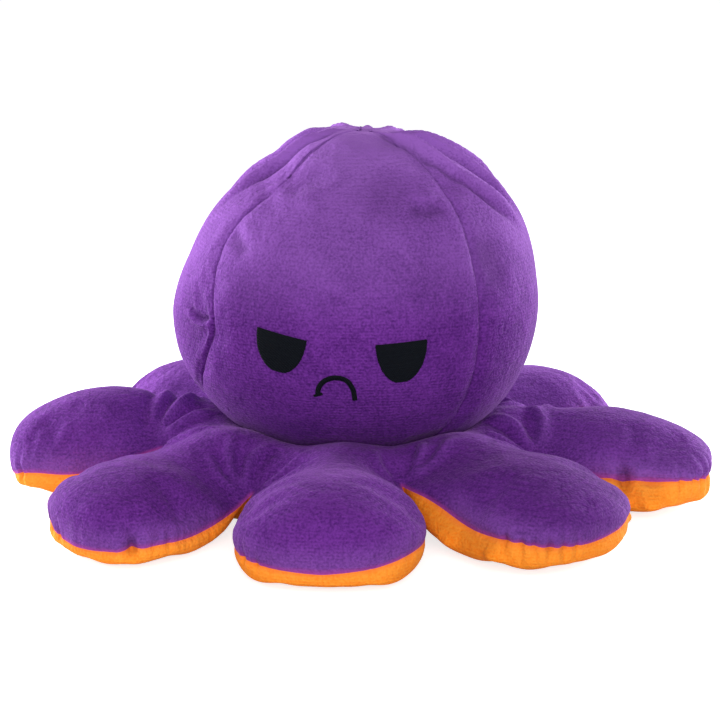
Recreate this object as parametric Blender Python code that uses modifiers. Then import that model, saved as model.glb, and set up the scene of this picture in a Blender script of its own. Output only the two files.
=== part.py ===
"""A plush octopus that turns inside out.

Four purple gores make a round head over a thick bowl of fibre filling. Orange gores line the
hollow inside it. Eight stuffed legs, purple above and orange below, hinge on the ring of
fabric round the hollow's mouth. The face looks along -Y, +Z is up, and the floor is Z = 0.
"""

import math

import bmesh
import bpy
from mathutils import Matrix, Vector

# Fabric
cloth = 0.0020
clearance = 0.0003
floor_cut = 0.0005
merge_distance = 0.00001
crease_degrees = 50.0

# Head
head_width = 0.202
head_height = 0.184
head_lift = 0.020
gore_count = 4
gore_faces = 5
head_rings = 10

# Hollow inside the head
hollow_width = 0.084
hollow_depth = 0.100
lining_rings = 8

# Legs
leg_count = 8
leg_reach = 0.198
leg_width = 0.096
leg_height = 0.043
hinge_radius = 0.092
hinge_play = 0.0010
crotch_gap = 0.0030
leg_rings = 8
leg_middle_share = 0.5
tip_powers = (5.5, 2.6)
side_powers = (3.0, 2.2)
root_powers = (8.0, 3.0)
seam_share = 0.01

# A leg's outline seen from above, from its tip round to its inner end: how far along the leg
# and how wide, as shares of the leg's length and width.
outline_shares = (
    (1.00, 0.00),
    (0.955, 0.56),
    (0.83, 0.90),
    (0.63, 1.00),
    (0.41, 0.97),
    (0.22, 0.87),
    (0.075, 0.68),
    (0.01, 0.40),
    (0.00, 0.00),
)

# Each leg in turn, from the front one towards +X: the height of its seam at the tip and along
# its sides and the height of its crown, as shares of the leg's height at its hinge, how far
# its tip bends sideways as a share of the leg's width, and how far the tip falls short of the
# longest leg's as a share of that leg's length.
leg_shares = {
    "front": (0.25, 0.40, 1.10, 0.00, 0.00),
    "front_right": (0.35, 0.44, 1.04, -0.15, 0.03),
    "right": (0.44, 0.52, 1.05, -0.15, 0.04),
    "back_right": (0.33, 0.44, 1.05, 0.00, 0.15),
    "back": (0.29, 0.41, 1.09, 0.02, 0.00),
    "back_left": (0.30, 0.41, 1.06, 0.00, 0.15),
    "left": (0.20, 0.38, 1.10, 0.10, 0.04),
    "front_left": (0.20, 0.37, 1.01, 0.19, 0.00),
}

# Ring of fabric between the head and the legs
yoke_band = 0.020
yoke_crown = 0.0020
lip_degrees = 45.0
groove_faces = 4
yoke_sides = 3 * leg_count

# Embroidery on the purple face, and on the orange one inside. Levels and spreads are shares of
# the height and half width of the wall that carries them.
thread = 0.0012
stitch_line = 0.0026
eye_width = 0.028
eye_drop = 0.021
eye_tilt_degrees = 8.0
eye_round_degrees = 82.0
eye_fullness_share = 0.6
eye_spread_share = 0.306
eye_level_share = 0.447
mouth_width = 0.022
mouth_rise = 0.011
mouth_level_share = 0.277
inner_eye_width = 0.013
inner_eye_rise = 0.005
inner_eye_spread_share = 0.27
inner_eye_level_share = 0.46
inner_mouth_width = 0.012
inner_mouth_drop = 0.006
inner_mouth_level_share = 0.34
arc_degrees = 62.0
patch_columns = 6
patch_rows = 2

# Sizes that follow from the ones above
head_radius = head_width / 2
head_half_height = head_height / 2
head_middle = head_lift + head_half_height
hollow_radius = hollow_width / 2
end_radius = leg_height / 2
groove_radius = end_radius + hinge_play
hinge_level = end_radius
lip_reach = groove_radius * math.cos(math.radians(lip_degrees))
lip_rise = groove_radius * math.sin(math.radians(lip_degrees))
lip_radius = hinge_radius - lip_reach
neck_radius = lip_radius - yoke_band
neck_level = head_middle - head_half_height * math.sqrt(1 - (neck_radius / head_radius) ** 2)
leg_inner_radius = hinge_radius - end_radius
leg_length = leg_reach - leg_inner_radius
leg_step_degrees = 360 / leg_count
cutter_size = 2 * leg_reach

# Surface colours: linear red, green and blue, roughness, sheen
finishes = {
    "purple_plush": ((0.195, 0.060, 0.375), 0.92, 0.6),
    "orange_plush": ((0.890, 0.262, 0.034), 0.92, 0.5),
    "fibre_filling": ((0.800, 0.790, 0.760), 0.95, 0.2),
    "black_thread": ((0.006, 0.007, 0.012), 0.55, 0.1),
}


def clear_scene():
    """Empties the file of what Blender starts with."""
    for item in list(bpy.data.objects):
        bpy.data.objects.remove(item, do_unlink=True)


def new_collection(name):
    """A collection in the scene."""
    collection = bpy.data.collections.new(name)
    bpy.context.scene.collection.children.link(collection)
    return collection


def material(node, finish):
    """The piece's own material in one of the toy's finishes."""
    colour, roughness, sheen = finishes[finish]
    made = bpy.data.materials.new(node + "_" + finish)
    made.use_nodes = True
    shader = made.node_tree.nodes["Principled BSDF"]
    shader.inputs["Base Color"].default_value = (*colour, 1)
    shader.inputs["Roughness"].default_value = roughness
    shader.inputs["Metallic"].default_value = 0
    shader.inputs["Sheen Weight"].default_value = sheen
    made.diffuse_color = (*colour, 1)
    return made


def new_object(name, bm, collection, finish=None, hinge=None):
    """Turns a bmesh into a named object, on its hinge where it has one."""
    mesh = bpy.data.meshes.new(name)
    bm.to_mesh(mesh)
    bm.free()
    piece = bpy.data.objects.new(name, mesh)
    collection.objects.link(piece)
    if finish:
        mesh.materials.append(material(name, finish))
        mesh.shade_smooth()
        mesh.set_sharp_from_angle(angle=math.radians(crease_degrees))
    if hinge:
        piece.parent = hinge
    return piece


def boolean(piece, cutter, operation):
    """Cuts or joins a piece with a cutter."""
    modifier = piece.modifiers.new(cutter.name, "BOOLEAN")
    modifier.object = cutter
    modifier.operation = operation
    modifier.solver = "EXACT"


def solidify(piece, offset):
    """Gives an open sheet the cloth's thickness: offset -1 inwards, 1 outwards."""
    modifier = piece.modifiers.new("cloth", "SOLIDIFY")
    modifier.thickness = cloth
    modifier.offset = offset


def hide_cutter(cutter):
    """Marks an object as a cutter."""
    cutter.hide_render = True
    cutter.display_type = "WIRE"
    return cutter


def inset(bm, distance):
    """Moves every vertex inwards along its normal."""
    bm.normal_update()
    moved = [v.co - v.normal * distance for v in bm.verts]
    for vertex, place in zip(bm.verts, moved):
        vertex.co = place


def cut_flat(bm, level, cap):
    """Removes what lies below a level, and closes the cut if asked."""
    everything = list(bm.verts) + list(bm.edges) + list(bm.faces)
    plane = {"plane_co": (0, 0, level), "plane_no": (0, 0, 1)}
    found = bmesh.ops.bisect_plane(bm, geom=everything, dist=merge_distance, clear_inner=True, **plane)
    if cap:
        edges = [item for item in found["geom_cut"] if isinstance(item, bmesh.types.BMEdge)]
        bmesh.ops.holes_fill(bm, edges=edges, sides=0)
        bmesh.ops.recalc_face_normals(bm, faces=bm.faces)


def egg(radius, half_height, middle, rings):
    """An ellipsoid whose faces line up with the seams between the gores."""
    bm = bmesh.new()
    sides = gore_count * gore_faces
    turned = Matrix.Rotation(math.radians(180 / gore_count), 4, "Z")
    bmesh.ops.create_uvsphere(bm, u_segments=sides, v_segments=rings, radius=1, matrix=turned)
    for vertex in bm.verts:
        vertex.co = Vector((vertex.co.x * radius, vertex.co.y * radius, middle + vertex.co.z * half_height))
    return bm


def seam_cutters(collection):
    """Two blocks at each seam, one for each gore that ends there."""
    blocks = {}
    half_step = math.pi / gore_count
    for seam in range(gore_count):
        turn = Matrix.Rotation(half_step + seam * 2 * half_step, 4, "Z")
        for side in (-1, 1):
            bm = bmesh.new()
            bmesh.ops.create_cube(bm, size=cutter_size)
            shift = Matrix.Translation((side * (cutter_size - clearance) / 2, 0, head_middle))
            bmesh.ops.transform(bm, matrix=turn @ shift, verts=bm.verts)
            name = f"seam_{seam}_{'clockwise' if side < 0 else 'anticlockwise'}"
            blocks[seam, side] = hide_cutter(new_object(name, bm, collection))
    return blocks


def gores(name, surface, finish, offset, parts, blocks):
    """Divides an open dome into four gores with a fine gap at each seam."""
    for index, place in enumerate(("front", "right", "back", "left")):
        piece = new_object(f"{name}_{place}", surface(), parts, finish)
        solidify(piece, offset)
        boolean(piece, blocks[(index - 1) % gore_count, -1], "DIFFERENCE")
        boolean(piece, blocks[index, 1], "DIFFERENCE")


def head_surface():
    """The head's outer face, open at the neck."""
    bm = egg(head_radius, head_half_height, head_middle, head_rings)
    cut_flat(bm, neck_level, False)
    return bm


def lining_surface():
    """The face of the hollow, open at its mouth; it is thickened away from the hollow."""
    bm = egg(hollow_radius, hollow_depth, neck_level, lining_rings)
    cut_flat(bm, neck_level + clearance, False)
    return bm


def make_head(parts, cutters):
    """The outer gores, the lining's gores and the bowl of filling between them."""
    blocks = seam_cutters(cutters)
    gores("head_panel", head_surface, "purple_plush", -1, parts, blocks)
    gores("lining_panel", lining_surface, "orange_plush", 1, parts, blocks)

    bm = egg(head_radius, head_half_height, head_middle, head_rings)
    inset(bm, cloth + clearance)
    cut_flat(bm, neck_level + clearance, True)
    filling = new_object("head_stuffing", bm, parts, "fibre_filling")
    bm = egg(hollow_radius, hollow_depth, neck_level, lining_rings)
    inset(bm, -(cloth + clearance))
    boolean(filling, hide_cutter(new_object("hollow", bm, cutters)), "DIFFERENCE")


def inset_line(points, distance):
    """A line of (radius, level) points moved to its left by a distance, with mitred corners."""
    moved = []
    for index, point in enumerate(points):
        normals = []
        for a, b in ((index - 1, index), (index, index + 1)):
            if 0 <= a and b < len(points):
                along = (Vector(points[b]) - Vector(points[a])).normalized()
                normals.append(Vector((-along.y, along.x)))
        middle = sum(normals, Vector((0, 0))).normalized()
        moved.append(tuple(Vector(point) + middle * (distance / middle.dot(normals[0]))))
    return moved


def turned_ring(name, profile, finish, parts):
    """Turns a closed profile of (radius, level) points about the Z axis."""
    bm = bmesh.new()
    corners = [bm.verts.new((radius, 0, level)) for radius, level in profile]
    for a, b in zip(corners, corners[1:] + corners[:1]):
        bm.edges.new((a, b))
    piece = new_object(name, bm, parts, finish)
    screw = piece.modifiers.new("turn", "SCREW")
    screw.axis = "Z"
    screw.steps = yoke_sides
    screw.render_steps = screw.steps
    screw.use_merge_vertices = True
    screw.merge_threshold = merge_distance
    screw.use_smooth_shade = True
    return piece


def groove_point(angle):
    """A point of the groove that a leg's round end turns in, by its angle above the hinge."""
    return hinge_radius - groove_radius * math.cos(angle), hinge_level + groove_radius * math.sin(angle)


def make_yoke(parts):
    """The ring of fabric round the hollow's mouth: a purple band, an orange sole and filling."""
    top_level = neck_level - clearance
    lip = math.radians(lip_degrees)
    band = [(neck_radius, top_level), (neck_radius + yoke_band / 2, hinge_level + lip_rise + yoke_crown)]
    band.append(groove_point(lip))
    sole = [groove_point(-lip), (lip_radius - cloth, cloth), (lip_radius - 3 * cloth, 0)]
    sole += [(hollow_radius + 2 * cloth, 0), (hollow_radius, cloth), (hollow_radius, top_level)]

    edge = cloth / groove_radius
    under_band = inset_line(band, -cloth)[:-1] + [groove_point(lip - edge)]
    over_sole = [groove_point(edge - lip)] + inset_line(sole, -cloth)[1:]
    turned_ring("yoke_top", band + under_band[::-1], "purple_plush", parts)
    turned_ring("yoke_underside", sole + over_sole[::-1], "orange_plush", parts)

    depth = cloth + clearance
    arc = lip - depth / groove_radius
    filling = [(neck_radius - depth, top_level)] + inset_line(band, -depth)[:-1]
    filling += [groove_point(arc * (1 - 2 * step / groove_faces)) for step in range(groove_faces + 1)]
    filling += inset_line(sole, -depth)[1:]
    turned_ring("yoke_stuffing", filling, "fibre_filling", parts)


def leg_outline(turns):
    """Where a leg's seam runs, for a direction given as a share of a full turn from the tip:
    the distance from the hinge, the sideways place and the share of the leg's length."""
    steps = 2 * (len(outline_shares) - 1)
    step = round(turns * steps) % steps
    side = 1 if step < steps / 2 else -1
    along, across = outline_shares[min(step, steps - step)]
    radius = leg_inner_radius + along * leg_length
    widest = radius * math.tan(math.pi / leg_count) - crotch_gap / 2
    half_width = min(across * leg_width / 2, widest)
    return radius - hinge_radius, side * half_width, along


def leg_form(shares):
    """A leg as a closed pillow about its hinge, +X outwards and +Z up, and each of its points'
    side of the seam: 1 above, -1 below and 0 on it."""
    tip_seam, side_seam, crown, bend, shortfall = shares
    bm = bmesh.new()
    steps = 2 * (len(outline_shares) - 1)
    bmesh.ops.create_uvsphere(bm, u_segments=steps, v_segments=leg_rings, radius=1)
    middle = leg_inner_radius + leg_middle_share * leg_length - hinge_radius
    sides = []
    for vertex in bm.verts:
        turns = math.atan2(vertex.co.y, vertex.co.x) / math.tau
        spread = min(math.hypot(vertex.co.x, vertex.co.y), 1)
        side = 0 if abs(vertex.co.z) < seam_share else math.copysign(1, vertex.co.z)
        edge_x, edge_y, along = leg_outline(turns)
        outwards = max(0, (along - leg_middle_share) / (1 - leg_middle_share))
        inwards = max(0, 1 - along / leg_middle_share)
        seam = leg_height * (side_seam + (tip_seam - side_seam) * outwards**2)
        seam += (hinge_level - seam) * inwards**2
        powers = zip(tip_powers, side_powers, root_powers)
        spread_power, crown_power = (b + (a - b) * outwards + (c - b) * inwards for a, b, c in powers)
        rise = (1 - spread**spread_power) ** (1 / crown_power) if side else 0
        target = leg_height * crown if side > 0 else -floor_cut
        z = seam + (target - seam) * rise - hinge_level
        x = middle + (edge_x - middle) * spread
        if x < 0:
            z = side * min(abs(z), math.sqrt(max(0, end_radius**2 - x**2)))
        reach = max(0, x / (leg_reach - hinge_radius))
        y = edge_y * spread + bend * leg_width * reach**2
        x -= shortfall * leg_length * reach**2
        vertex.co = Vector((x, y, z))
        sides.append(side)
    return bm, sides


def leg_cover(shares, side):
    """The cloth above or below a leg's seam: that half of the pillow with an inner face."""
    bm, sides = leg_form(shares)
    bm.normal_update()
    inner = {v: v.co - v.normal * cloth for v in bm.verts}
    away = [v for v, its_side in zip(bm.verts, sides) if its_side == -side]
    bmesh.ops.delete(bm, geom=away, context="VERTS")
    outer = list(bm.verts)
    copied = bmesh.ops.duplicate(bm, geom=list(bm.faces))
    for vertex in outer:
        copied["vert_map"][vertex].co = inner[vertex]
    inner_faces = [item for item in copied["geom"] if isinstance(item, bmesh.types.BMFace)]
    bmesh.ops.reverse_faces(bm, faces=inner_faces)
    bmesh.ops.bridge_loops(bm, edges=[edge for edge in bm.edges if edge.is_boundary])
    bmesh.ops.recalc_face_normals(bm, faces=bm.faces)
    bmesh.ops.translate(bm, verts=bm.verts, vec=(0, 0, side * clearance / 2))
    if side < 0:
        cut_flat(bm, -hinge_level, True)
    return bm


def make_legs(parts):
    """Eight legs, each on an empty whose Y axis is the leg's hinge."""
    for number, (name, shares) in enumerate(leg_shares.items()):
        turn = math.radians(number * leg_step_degrees - 90)
        hinge = bpy.data.objects.new(f"leg_{name}_hinge", None)
        parts.objects.link(hinge)
        hinge.rotation_euler = (0, 0, turn)
        hinge.location = (hinge_radius * math.cos(turn), hinge_radius * math.sin(turn), hinge_level)
        hinge.empty_display_size = end_radius
        new_object(f"leg_{name}_top", leg_cover(shares, 1), parts, "purple_plush", hinge)
        new_object(f"leg_{name}_underside", leg_cover(shares, -1), parts, "orange_plush", hinge)
        bm, _ = leg_form(shares)
        inset(bm, cloth + clearance)
        new_object(f"leg_{name}_stuffing", bm, parts, "fibre_filling", hinge)


def on_egg(bed, across, level):
    """A place on the front of a wall, by its distance round from the middle and its level."""
    radius, half_height, middle = bed
    reach = radius * math.sqrt(1 - ((level - middle) / half_height) ** 2)
    turn = across / reach
    return Vector((reach * math.sin(turn), -reach * math.cos(turn), level))


def stitched(name, wall, bed, shape, facing, parts):
    """A thin embroidered patch on a wall: shape turns a place on a square into a place on the
    wall, and facing is 1 outside the head and -1 in the hollow."""
    bm = bmesh.new()
    bmesh.ops.create_grid(bm, x_segments=patch_columns, y_segments=patch_rows, size=1)
    for vertex in bm.verts:
        vertex.co = on_egg(bed, *shape(vertex.co.x, vertex.co.y))
    if facing < 0:
        bmesh.ops.reverse_faces(bm, faces=bm.faces)
    piece = new_object(name, bm, parts, "black_thread")
    wrap = piece.modifiers.new("on_the_cloth", "SHRINKWRAP")
    wrap.target = wall
    wrap.wrap_method = "NEAREST_SURFACEPOINT"
    wrap.wrap_mode = "ABOVE_SURFACE"
    wrap.offset = 2 * clearance
    solid = piece.modifiers.new("thread", "SOLIDIFY")
    solid.thickness = thread
    solid.offset = 1


def half_round(centre, level, side):
    """A filled half circle under a straight lid, which slopes down towards the face's middle."""
    low = math.radians(eye_round_degrees)
    tilt = math.radians(side * eye_tilt_degrees)

    def shape(across, up):
        down = low * (1 - up) / 2
        x = across * eye_width / 2 * math.cos(down) ** eye_fullness_share
        z = -eye_drop * math.sin(down) / math.sin(low)
        turned = Vector((x, z)) @ Matrix.Rotation(-tilt, 2)
        return centre + turned.x, level + turned.y

    return shape


def arc_line(centre, level, width, rise):
    """A line of stitches that arches up, or down where its rise is negative."""
    half = math.radians(arc_degrees)

    def shape(across, up):
        turn = across * half
        wide = width / 2 / math.sin(half)
        high = rise / (1 - math.cos(half))
        x = wide * math.sin(turn)
        z = high * (math.cos(turn) - math.cos(half))
        along = Vector((wide * math.cos(turn), -high * math.sin(turn))).normalized()
        return centre + x - along.y * up * stitch_line / 2, level + z + along.x * up * stitch_line / 2

    return shape


def make_face(parts):
    """The eyes and mouth on the front gore, and those of the orange side on the lining."""
    wall = parts.objects["head_panel_front"]
    bed = (head_radius, head_half_height, head_middle)
    spread = eye_spread_share * head_radius
    eye_level = head_lift + eye_level_share * head_height
    mouth_level = head_lift + mouth_level_share * head_height
    stitched("eye_right", wall, bed, half_round(spread, eye_level, 1), 1, parts)
    stitched("eye_left", wall, bed, half_round(-spread, eye_level, -1), 1, parts)
    stitched("mouth", wall, bed, arc_line(0, mouth_level, mouth_width, mouth_rise), 1, parts)

    wall = parts.objects["lining_panel_front"]
    bed = (hollow_radius - cloth, hollow_depth - cloth, neck_level)
    spread = inner_eye_spread_share * hollow_radius
    eye_level = neck_level + inner_eye_level_share * hollow_depth
    mouth_level = neck_level + inner_mouth_level_share * hollow_depth
    lid = (inner_eye_width, inner_eye_rise)
    stitched("inner_eye_right", wall, bed, arc_line(spread, eye_level, *lid), -1, parts)
    stitched("inner_eye_left", wall, bed, arc_line(-spread, eye_level, *lid), -1, parts)
    smile = arc_line(0, mouth_level, inner_mouth_width, -inner_mouth_drop)
    stitched("inner_mouth", wall, bed, smile, -1, parts)


clear_scene()
octopus = new_collection("plush_octopus")
shapers = new_collection("cutters")
make_head(octopus, shapers)
make_yoke(octopus)
make_legs(octopus)
make_face(octopus)
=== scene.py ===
# %% [markdown]
# # A plush octopus, from cloth to portrait
# The real toy is sewn from two short-pile cloths. Eight purple petals are stitched edge to edge to eight
# orange ones and stuffed, and they carry a stuffed purple head. The orange cloth goes on up inside the head
# as a lining, so that the toy can be turned inside out.
#
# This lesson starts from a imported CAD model, the frame. The frame knows the sizes, the places and the hinges
# of the legs. Everything that is seen is sewn here, over it.

# %% Load the frame
import math
from contextlib import contextmanager

import bpy
import numpy as np
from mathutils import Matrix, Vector
from mathutils.bvhtree import BVHTree


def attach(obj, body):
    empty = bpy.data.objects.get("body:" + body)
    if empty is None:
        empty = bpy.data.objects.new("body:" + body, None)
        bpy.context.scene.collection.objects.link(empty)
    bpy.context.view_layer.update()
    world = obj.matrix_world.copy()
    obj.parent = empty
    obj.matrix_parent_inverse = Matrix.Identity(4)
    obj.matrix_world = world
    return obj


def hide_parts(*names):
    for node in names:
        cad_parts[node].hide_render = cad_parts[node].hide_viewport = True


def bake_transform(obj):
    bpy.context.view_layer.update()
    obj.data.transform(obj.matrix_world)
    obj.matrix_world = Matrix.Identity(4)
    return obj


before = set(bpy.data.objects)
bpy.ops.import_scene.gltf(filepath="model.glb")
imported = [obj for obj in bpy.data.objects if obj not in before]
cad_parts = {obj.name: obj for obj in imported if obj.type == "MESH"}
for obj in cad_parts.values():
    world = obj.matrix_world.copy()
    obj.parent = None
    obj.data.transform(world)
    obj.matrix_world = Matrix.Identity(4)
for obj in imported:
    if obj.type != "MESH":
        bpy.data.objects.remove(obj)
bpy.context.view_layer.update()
bpy.ops.object.select_all(action="DESELECT")

# %% [markdown]
# ## Working on one piece at a time
# An operator in Blender acts on all that is selected, so a mistake there spreads to other pieces. Each step
# below picks its piece alone first. Plush has soft shapes that are easier to write as numbers than to push
# about by hand, so there is also a helper that reads all the points of a piece into one array and one that
# writes them back.

# %% Helpers for picking pieces and moving points
def pick(*pieces):
    bpy.ops.object.select_all(action="DESELECT")
    for piece in pieces:
        piece.select_set(True)
    bpy.context.view_layer.objects.active = pieces[0]


def points_of(piece, field="co"):
    """The places of a piece's points, or another field of theirs, as rows of x, y and z."""
    flat = np.zeros(len(piece.data.vertices) * 3)
    piece.data.vertices.foreach_get(field, flat)
    return flat.reshape(-1, 3)


def normals_of(piece):
    return points_of(piece, "normal")


def move_points(piece, points):
    piece.data.vertices.foreach_set("co", np.asarray(points, float).ravel())
    piece.data.update()


def set_all(thing, **settings):
    for name, value in settings.items():
        setattr(thing, name, value)


def modifier(piece, kind, **settings):
    pick(piece)
    added = piece.modifiers.new(kind.title(), kind)
    set_all(added, **settings)
    bpy.ops.object.modifier_apply(modifier=added.name)


print("pieces can be picked, read, moved and modified")

# %% [markdown]
# ## In and out of edit mode
# Merging, flipping and deleting are operators of edit mode and act on what is selected there. A with block
# goes in, selects all or nothing and comes out again, so no step of that is forgotten.

# %% Helpers for edit mode
@contextmanager
def edit_mode(action="SELECT"):
    bpy.ops.object.mode_set(mode="EDIT")
    bpy.ops.mesh.select_all(action=action)
    yield
    bpy.ops.object.mode_set(mode="OBJECT")


def delete_part(piece, kind, chosen):
    """Deletes the chosen points, of kind VERT, or faces, of kind FACE."""
    pick(piece)
    with edit_mode("DESELECT"):
        bpy.ops.mesh.select_mode(type=kind)
    parts = piece.data.vertices if kind == "VERT" else piece.data.polygons
    parts.foreach_set("select", np.asarray(chosen, bool))
    bpy.ops.object.mode_set(mode="EDIT")
    bpy.ops.mesh.delete(type=kind)
    bpy.ops.object.mode_set(mode="OBJECT")


print("meshes can be merged, flipped and cut")

# %% [markdown]
# ## Soft curves from numbers
# Cloth has no sharp changes, so its shape is written with curves that start and end gently: a step from 0 to
# 1, a bell that fades to both sides, the section of a pillow, and a spline through the points of a table.

# %% Helpers for soft curves
def lengths(rows):
    return np.linalg.norm(rows, axis=-1)


def smoothstep(low, high, values):
    share = np.clip((np.asarray(values, float) - low) / (high - low), 0, 1)
    return share * share * (3 - 2 * share)


def bell(far, width):
    return np.exp(-((far / width) ** 2))


def pillow(share, flat, steep):
    """1 at share 0 and 0 at share 1. A large flat keeps it high for longer, a large steep makes it fall late."""
    return (1 - share**flat) ** (1 / steep)


def spline(table, at):
    """A smooth curve through the table's points, read off at the places asked for."""
    xs, ys = (np.array(column, float) for column in zip(*table))
    slopes = np.gradient(ys, xs)
    at = np.clip(at, xs[0], xs[-1])
    cell = np.clip(np.searchsorted(xs, at, side="right") - 1, 0, len(xs) - 2)
    width = xs[cell + 1] - xs[cell]
    t = (at - xs[cell]) / width
    return (
        (1 + 2 * t) * (1 - t) ** 2 * ys[cell]
        + t * (1 - t) ** 2 * width * slopes[cell]
        + t * t * (3 - 2 * t) * ys[cell + 1]
        + t * t * (t - 1) * width * slopes[cell + 1]
    )


print("halfway, a pillow's section has", round(pillow(0.5, 2.2, 1.85), 3), "of its height")

# %% [markdown]
# ## Stuffing a cover
# A stuffed toy gets its shape from pressure: the filling pushes the cloth out until the seams hold it back.
# Blender's Cloth does the same with its pressure setting. The seams are pinned, and the cloth between them
# is cut a little too large, so it swells and gathers into the small puckers that run across a seam. A cap on
# the movement keeps the piece to its size.

# %% The filling, as a cloth simulation
FRAMES = 16
PLUSH_CLOTH = dict(
    quality=6, mass=0.25, tension_stiffness=12, compression_stiffness=12, shear_stiffness=4,
    bending_stiffness=0.35, use_pressure=True,
)


def stuff(piece, held, pressure, spare, cap, share=1.0, floor=-1.0):
    """Swells the piece. held says which points stay, spare how much too large the cloth is, cap how far a
    point may move, share how much of that it keeps, and floor how low it may come."""
    before = points_of(piece)
    pins = piece.vertex_groups.new(name="held")
    for weight in (0, 1):
        pins.add(np.nonzero(held == weight)[0].tolist(), weight, "REPLACE")
    pick(piece)
    cloth = piece.modifiers.new("Cloth", "CLOTH")
    set_all(cloth.settings, shrink_min=-spare, uniform_pressure_force=pressure, **PLUSH_CLOTH)
    cloth.settings.effector_weights.gravity = 0
    cloth.settings.vertex_group_mass = pins.name
    set_all(cloth.point_cache, frame_start=1, frame_end=FRAMES)
    for number in range(1, FRAMES + 1):
        bpy.context.scene.frame_set(number)
    bpy.ops.object.modifier_apply(modifier=cloth.name)
    bpy.context.scene.frame_set(1)
    piece.vertex_groups.clear()
    moved = points_of(piece) - before
    far = lengths(moved)[:, None]
    after = before + moved * np.minimum(1, cap / np.maximum(far, 1e-9))
    after[:, 2] = np.maximum(after[:, 2], floor)
    move_points(piece, before + (after - before) * np.atleast_1d(share)[:, None])
    print(piece.name, "swelled by up to", round(float(far.max()) * 1000, 1), "mm")


print("each cover swells for", FRAMES, "frames")

# %% [markdown]
# ## The plan of a petal
# Seen from above, the toy is a flower of eight petals. One petal with its share of the middle is a sector of
# 45 degrees: two straight sides in the middle of the flower, where the purple cloth runs on into the next
# petal, and then a paddle with a round tip. The point where two paddles part is the crotch, and the seam
# between purple and orange starts there.
#
# The surface is a grid, because cloth wrinkles best along even rows. The four sides of the grid are laid on
# the outline, and the inside is filled in between them, which is known as a Coons patch.

# %% The outline and the grid of a petal
LEG_NAMES = ("front", "front_right", "right", "back_right", "back", "back_left", "left", "front_left")
HALF_SECTOR = math.pi / len(LEG_NAMES)
WEB_ROWS, PADDLE_ROWS, COLUMNS = 14, 30, 30
ROWS = WEB_ROWS + PADDLE_ROWS
CROTCH = 0.1065
TIP = 0.198
TOP_START, UNDER_START = 0.057, 0.053
paddle_side = [
    (0.1120, 0.0433), (0.1230, 0.0452), (0.1370, 0.0468), (0.1510, 0.0473), (0.1650, 0.0462),
    (0.1765, 0.0427), (0.1855, 0.0366), (0.1923, 0.0272), (0.1968, 0.0143), (TIP, 0.0),
]
CORNER_AT = 0.40
CROWDED_ACROSS, CROWDED_OUTWARD = 0.5, 0.4


def along(points, shares):
    """Points at the given shares of the length of a smooth curve through the points."""
    points = np.asarray(points, float)
    steps = np.linalg.norm(np.diff(points, axis=0), axis=1)
    reached = np.concatenate([[0], np.cumsum(steps)]) / steps.sum()
    return np.stack([spline(list(zip(reached, column)), shares) for column in points.T], axis=-1)


def crowded(shares, amount):
    """Crowds evenly spaced shares towards 1 and -1, where the cloth bends most."""
    return (1 - amount) * shares + amount * np.sin(shares * math.pi / 2)


def petal_plan(start):
    """The plan of one cloth of a petal, from the given radius outwards, and the share across of its columns."""
    sector_side = np.array([math.cos(HALF_SECTOR), math.sin(HALF_SECTOR)])
    right = [tuple(CROTCH * sector_side)] + paddle_side
    loop = right + [(x, -y) for x, y in right[-2::-1]]
    across = crowded(np.linspace(-1, 1, COLUMNS + 1), CROWDED_ACROSS)
    outward = crowded(np.linspace(0, 1, PADDLE_ROWS + 1), CROWDED_OUTWARD)
    paddle = along(loop, outward * CORNER_AT)
    tip = along(loop, 0.5 - across * (0.5 - CORNER_AT))
    web = np.linspace(start, CROTCH, WEB_ROWS + 1)[:-1, None] * sector_side
    side = np.concatenate([web, paddle])
    inner = start * np.stack([np.cos(across * HALF_SECTOR), np.sin(across * HALF_SECTOR)], axis=-1)
    u = np.linspace(0, 1, ROWS + 1)[:, None, None]
    w = ((across + 1) / 2)[None, :, None]
    mirrored = side * (1, -1)
    start_corners = (1 - u) * (1 - w) * mirrored[0] + (1 - u) * w * side[0]
    end_corners = u * (1 - w) * mirrored[-1] + u * w * side[-1]
    between_ends = (1 - u) * inner[None] + u * tip[None]
    between_sides = (1 - w) * mirrored[:, None] + w * side[:, None]
    return between_ends + between_sides - start_corners - end_corners, across


plan = petal_plan(TOP_START)[0]
print("a petal has", plan.shape[:2], "points and reaches", round(plan[..., 0].max(), 4), "m")

# %% [markdown]
# ## The height of a petal
# Each petal of the real toy lies a little differently: the front ones have a low seam, the side ones stand
# higher and bend forward. A petal is given by the height of its seam at the tip and at the sides, by the
# height of its crest, by how much that droops towards the tip, by how far the tip is lifted off the floor and
# by a sideways bend. From the seam the cloth rises steeply, like the side of a pillow, and it is flat only
# below, where it rests. At the crotch both cloths are pinched together, and the orange one leaves the floor.

# %% The habits of the eight petals
HINGE_LEVEL = 0.0215
REST = 0.0006
PINCH_LEVEL = 0.0270
BESIDE_CROTCH = (0.0225, 0.0225)
habit_names = ("tip", "side", "crest", "droop", "belly", "bend", "short")
petal_habits = {
    "front": (0.0108, (0.0140, 0.0168), 0.97, 0.00, 0.001, 0.0, 0.0),
    "front_right": (0.0150, 0.0190, 0.94, 0.16, 0.012, -0.0184, 0.002),
    "right": (0.0182, 0.0206, 1.00, 0.20, 0.017, -0.0194, 0.005),
    "back_right": (0.0142, 0.0189, 1.02, 0.16, 0.001, 0.0, 0.025),
    "back": (0.0125, 0.0176, 1.00, 0.04, 0.001, 0.0019, 0.0),
    "back_left": (0.0129, 0.0176, 1.03, 0.12, 0.001, 0.0, 0.019),
    "left": (0.0086, 0.0163, 1.15, 0.21, 0.002, 0.0096, 0.0092),
    "front_left": (0.0086, (0.0168, 0.0125), 0.83, 0.00, 0.005, 0.0205, -0.0010),
}
petal_habits = {name: dict(zip(habit_names, habits)) for name, habits in petal_habits.items()}
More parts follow.
